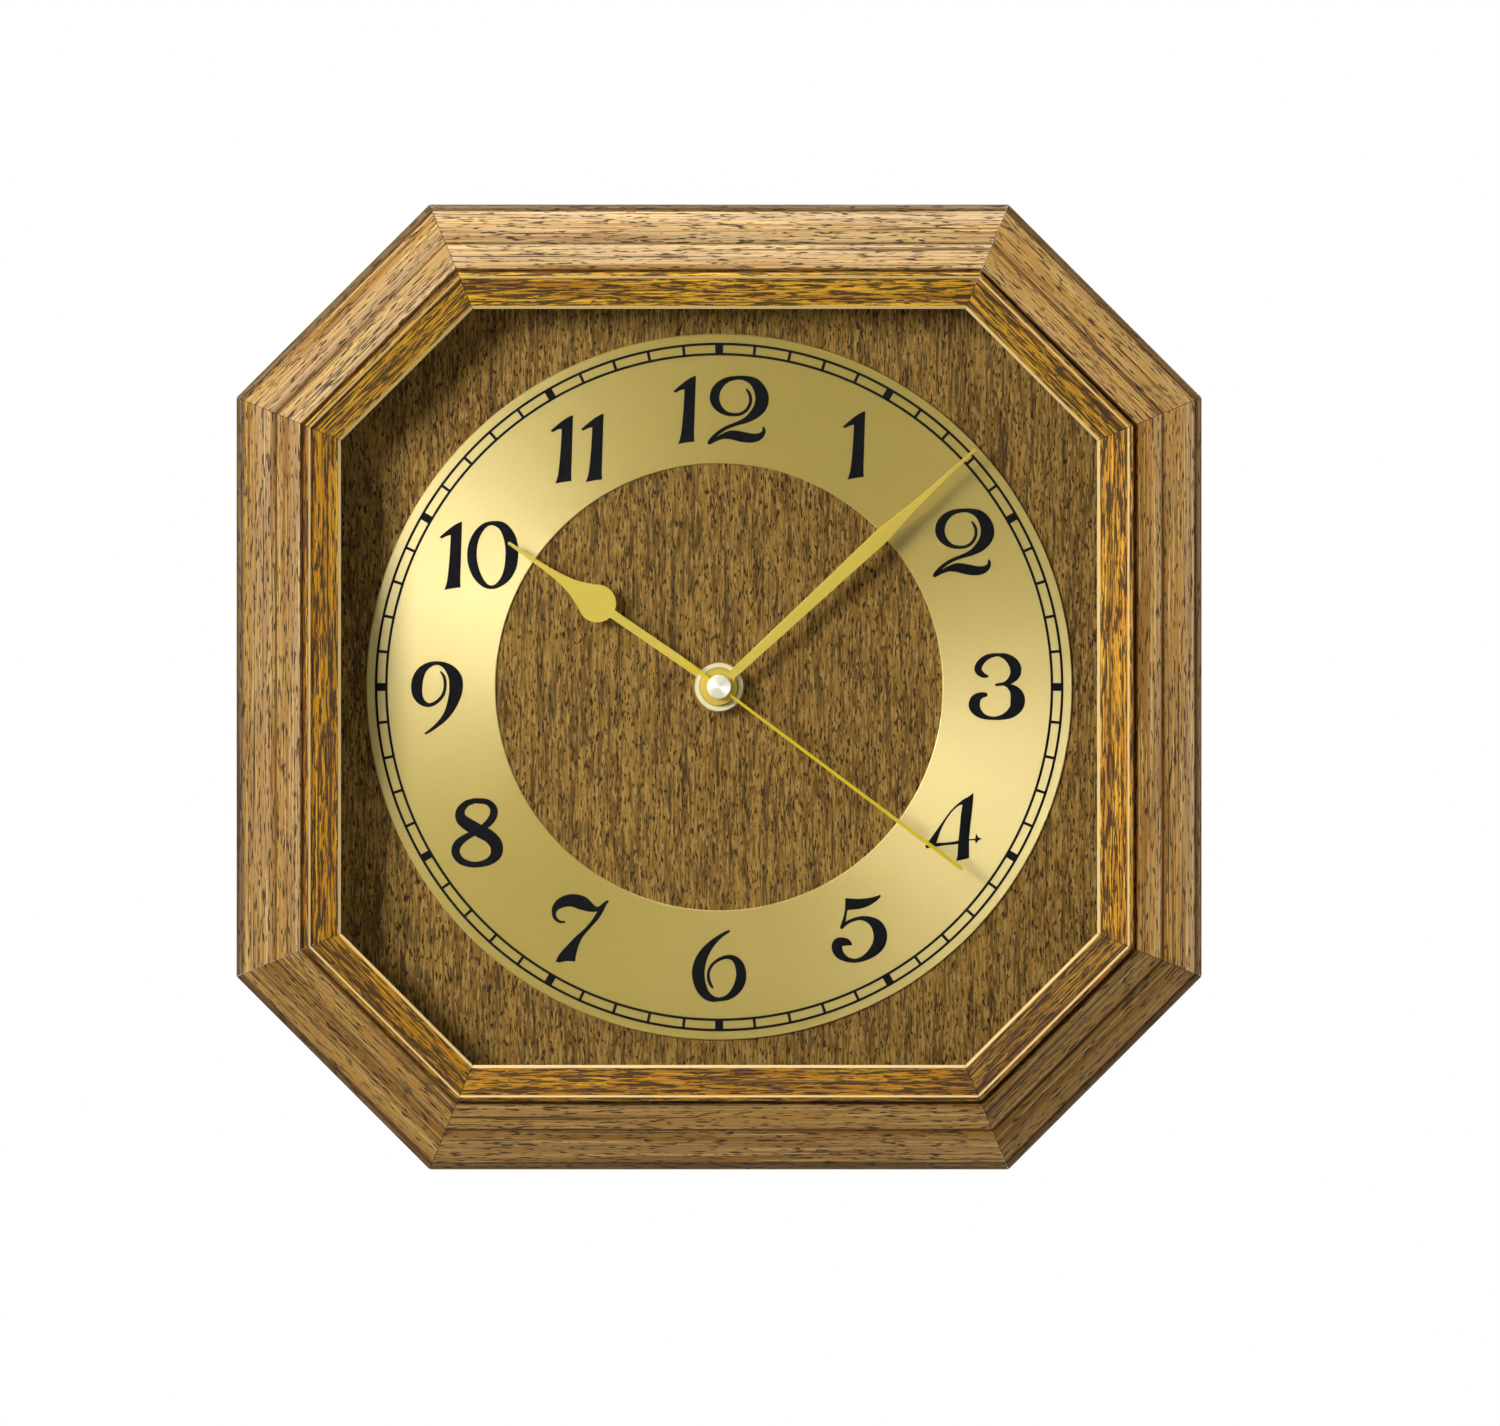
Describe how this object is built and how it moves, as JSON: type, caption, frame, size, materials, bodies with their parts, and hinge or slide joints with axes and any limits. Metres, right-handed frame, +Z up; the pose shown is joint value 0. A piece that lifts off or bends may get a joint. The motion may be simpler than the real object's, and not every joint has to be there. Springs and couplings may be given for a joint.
{
  "type": "wall clock",
  "caption": "Eight-sided oak wall clock with a raised gold chapter ring, brass hands, front glass and a battery quartz movement on a keyhole hanger.",
  "frame": {"origin": "centre of the hanger plate's round hole, on the wall plane", "axes": "+Z up, the front faces -Y, +Y points into the wall along the hanger hole, +X to the right seen from the front"},
  "size_m": [0.3, 0.0514, 0.3],
  "materials": {
    "oak": "open-grained golden oak moulding with dark pores, satin lacquer",
    "dark_wood": "dark stained softwood",
    "dial_veneer": "oak veneer with upright grain, satin",
    "brushed_gold": "circular-brushed, gold anodised, with black printed numerals",
    "glass": "clear, polished",
    "zinc_steel": "zinc plated",
    "hanger_brass": "satin brass",
    "black_plastic": "fine moulded texture",
    "white_plastic": "natural acetal",
    "knob_plastic": "moulded, satin",
    "rubber": "black rubber",
    "circuit_green": "green solder mask over glass fibre board",
    "resin": "black potting resin",
    "enamelled_copper": "fine enamelled copper wire",
    "soft_iron": "annealed sheet",
    "magnet": "sintered magnet on a moulded arbor",
    "battery_sleeve": "printed steel can, satin",
    "hand_brass": "polished brass",
    "cap_metal": "turned and polished"
  },
  "bodies": {
    "clock": {"top_rail": "oak", "upper_right_rail": "oak", "right_rail": "oak", "lower_right_rail": "oak", "bottom_rail": "oak", "lower_left_rail": "oak", "left_rail": "oak", "upper_left_rail": "oak", "corner_v_nails": "zinc_steel", "front_glass": "glass", "spacer_strips": "dark_wood", "dial_board": "dial_veneer", "chapter_ring": "brushed_gold", "dial_clips": "zinc_steel", "clip_screws": "zinc_steel", "hanger_plate": "hanger_brass", "hanger_screws": "hanger_brass", "movement_front_case": "black_plastic", "movement_back_case": "black_plastic", "middle_plate": "white_plastic", "threaded_bush": "hanger_brass", "rubber_washer": "rubber", "flat_washer": "hanger_brass", "hex_nut": "hanger_brass", "circuit_board": "circuit_green", "quartz_crystal": "zinc_steel", "controller_chip": "resin", "coil_bobbin": "white_plastic", "coil_winding": "enamelled_copper", "coil_core": "soft_iron", "stator": "soft_iron", "battery_contact_positive": "zinc_steel", "battery_contact_negative": "zinc_steel"},
    "minute_group": {"centre_wheel": "white_plastic", "minute_hand": "hand_brass", "minute_hand_collet": "hand_brass"},
    "hour_group": {"hour_wheel": "white_plastic", "hour_hand": "hand_brass", "hour_hand_collet": "hand_brass"},
    "second_group": {"second_wheel": "white_plastic", "second_hand": "hand_brass", "second_hand_socket": "hand_brass", "centre_cap": "cap_metal"},
    "third_wheel": {"third_wheel": "white_plastic"},
    "fifth_wheel": {"fifth_wheel": "white_plastic"},
    "rotor": {"rotor": "magnet"},
    "motion_wheel": {"motion_wheel": "white_plastic"},
    "setting_knob": {"setting_knob": "knob_plastic"},
    "battery": {"battery": "battery_sleeve"}
  },
  "joints": [
    {"name": "minute_hand_turn", "type": "hinge", "parent": "clock", "child": "minute_group", "pos_m": [0, -0.03, -0.136], "axis": [0, 1, 0], "continuous": true},
    {"name": "hour_hand_turn", "type": "hinge", "parent": "clock", "child": "hour_group", "pos_m": [0, -0.03, -0.136], "axis": [0, 1, 0], "continuous": true},
    {"name": "second_hand_turn", "type": "hinge", "parent": "clock", "child": "second_group", "pos_m": [0, -0.03, -0.136], "axis": [0, 1, 0], "continuous": true},
    {"name": "third_wheel_turn", "type": "hinge", "parent": "clock", "child": "third_wheel", "pos_m": [0.01015, -0.0135, -0.13231], "axis": [0, 1, 0], "continuous": true},
    {"name": "fifth_wheel_turn", "type": "hinge", "parent": "clock", "child": "fifth_wheel", "pos_m": [-0.0013, -0.01, -0.12861], "axis": [0, 1, 0], "continuous": true},
    {"name": "rotor_turn", "type": "hinge", "parent": "clock", "child": "rotor", "pos_m": [-0.0013, -0.012, -0.12245], "axis": [0, 1, 0], "continuous": true},
    {"name": "motion_wheel_turn", "type": "hinge", "parent": "clock", "child": "motion_wheel", "pos_m": [-0.01, -0.0176, -0.136], "axis": [0, 1, 0], "continuous": true},
    {"name": "setting_knob_turn", "type": "hinge", "parent": "clock", "child": "setting_knob", "pos_m": [-0.01, -0.004, -0.126], "axis": [0, 1, 0], "continuous": true},
    {"name": "battery_lift", "type": "slide", "parent": "clock", "child": "battery", "axis": [0, 1, 0], "range_m": [0, 0.022]}
  ],
  "couplings": [
    {"joint": "hour_hand_turn", "follows": "minute_hand_turn", "ratio": 0.083333},
    {"joint": "motion_wheel_turn", "follows": "minute_hand_turn", "ratio": -0.33333},
    {"joint": "setting_knob_turn", "follows": "minute_hand_turn", "ratio": 1},
    {"joint": "third_wheel_turn", "follows": "minute_hand_turn", "ratio": -8},
    {"joint": "second_hand_turn", "follows": "minute_hand_turn", "ratio": 60},
    {"joint": "fifth_wheel_turn", "follows": "minute_hand_turn", "ratio": -300},
    {"joint": "rotor_turn", "follows": "minute_hand_turn", "ratio": 1800}
  ]
}
